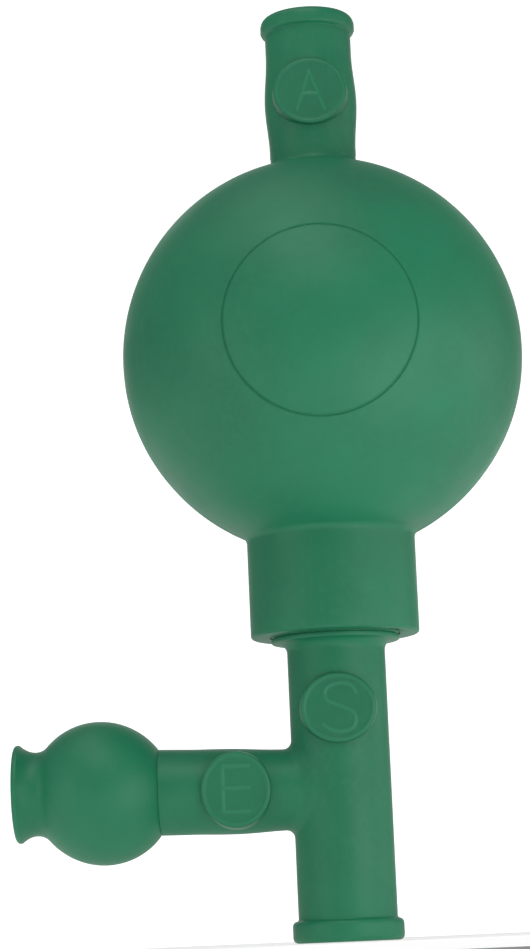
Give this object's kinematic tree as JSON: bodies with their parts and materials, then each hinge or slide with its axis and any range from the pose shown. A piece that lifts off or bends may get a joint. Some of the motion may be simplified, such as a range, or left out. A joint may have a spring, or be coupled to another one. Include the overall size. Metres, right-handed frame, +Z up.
{
  "type": "pipette filler bulb",
  "caption": "Rubber pipette filler: squeeze bulb over a stem, pinch valves with lettered coins, side branch with a small blow-out bulb.",
  "frame": {"origin": "centre of the pipette socket's mouth, under the stem", "axes": "+Z up the stem through the squeeze bulb to the upper neck, -X along the side branch, -Y towards the lettered side"},
  "size_m": [0.0781, 0.06, 0.1401],
  "materials": {
    "green_rubber": "satin moulded rubber",
    "valve_ball_steel": "polished ball"
  },
  "bodies": {
    "filler": {"main_bulb": "green_rubber", "upper_neck": "green_rubber", "tee_piece": "green_rubber", "blow_out_bulb": "green_rubber", "valve_a_ball": "valve_ball_steel", "valve_s_ball": "valve_ball_steel", "valve_e_ball": "valve_ball_steel"},
    "valve_a_pad_front": {"valve_a_pad_front": "green_rubber"},
    "valve_a_pad_back": {"valve_a_pad_back": "green_rubber"},
    "valve_s_pad_front": {"valve_s_pad_front": "green_rubber"},
    "valve_s_pad_back": {"valve_s_pad_back": "green_rubber"},
    "valve_e_pad_front": {"valve_e_pad_front": "green_rubber"},
    "valve_e_pad_back": {"valve_e_pad_back": "green_rubber"},
    "bulb_squeeze_wall_front": {"bulb_squeeze_wall_front": "green_rubber"},
    "bulb_squeeze_wall_back": {"bulb_squeeze_wall_back": "green_rubber"},
    "blow_out_squeeze_wall_front": {"blow_out_squeeze_wall_front": "green_rubber"},
    "blow_out_squeeze_wall_back": {"blow_out_squeeze_wall_back": "green_rubber"}
  },
  "joints": [
    {"name": "valve_a_pinch_front", "type": "slide", "parent": "filler", "child": "valve_a_pad_front", "axis": [0, 1, 0], "range_m": [0, 0.0012], "stiffness_N_per_m": 3000},
    {"name": "valve_a_pinch_back", "type": "slide", "parent": "filler", "child": "valve_a_pad_back", "axis": [0, -1, 0], "range_m": [0, 0.0012], "stiffness_N_per_m": 3000},
    {"name": "valve_s_pinch_front", "type": "slide", "parent": "filler", "child": "valve_s_pad_front", "axis": [0, 1, 0], "range_m": [0, 0.0012], "stiffness_N_per_m": 3000},
    {"name": "valve_s_pinch_back", "type": "slide", "parent": "filler", "child": "valve_s_pad_back", "axis": [0, -1, 0], "range_m": [0, 0.0012], "stiffness_N_per_m": 3000},
    {"name": "valve_e_pinch_front", "type": "slide", "parent": "filler", "child": "valve_e_pad_front", "axis": [0, 1, 0], "range_m": [0, 0.0012], "stiffness_N_per_m": 3000},
    {"name": "valve_e_pinch_back", "type": "slide", "parent": "filler", "child": "valve_e_pad_back", "axis": [0, -1, 0], "range_m": [0, 0.0012], "stiffness_N_per_m": 3000},
    {"name": "bulb_squeeze_front", "type": "slide", "parent": "filler", "child": "bulb_squeeze_wall_front", "axis": [0, 1, 0], "range_m": [0, 0.012], "stiffness_N_per_m": 1500},
    {"name": "bulb_squeeze_back", "type": "slide", "parent": "filler", "child": "bulb_squeeze_wall_back", "axis": [0, -1, 0], "range_m": [0, 0.012], "stiffness_N_per_m": 1500},
    {"name": "blow_out_squeeze_front", "type": "slide", "parent": "filler", "child": "blow_out_squeeze_wall_front", "axis": [0, 1, 0], "range_m": [0, 0.004], "stiffness_N_per_m": 1500},
    {"name": "blow_out_squeeze_back", "type": "slide", "parent": "filler", "child": "blow_out_squeeze_wall_back", "axis": [0, -1, 0], "range_m": [0, 0.004], "stiffness_N_per_m": 1500}
  ],
  "couplings": [
    {"joint": "valve_a_pinch_back", "follows": "valve_a_pinch_front", "ratio": 1},
    {"joint": "valve_s_pinch_back", "follows": "valve_s_pinch_front", "ratio": 1},
    {"joint": "valve_e_pinch_back", "follows": "valve_e_pinch_front", "ratio": 1},
    {"joint": "bulb_squeeze_back", "follows": "bulb_squeeze_front", "ratio": 1},
    {"joint": "blow_out_squeeze_back", "follows": "blow_out_squeeze_front", "ratio": 1}
  ]
}
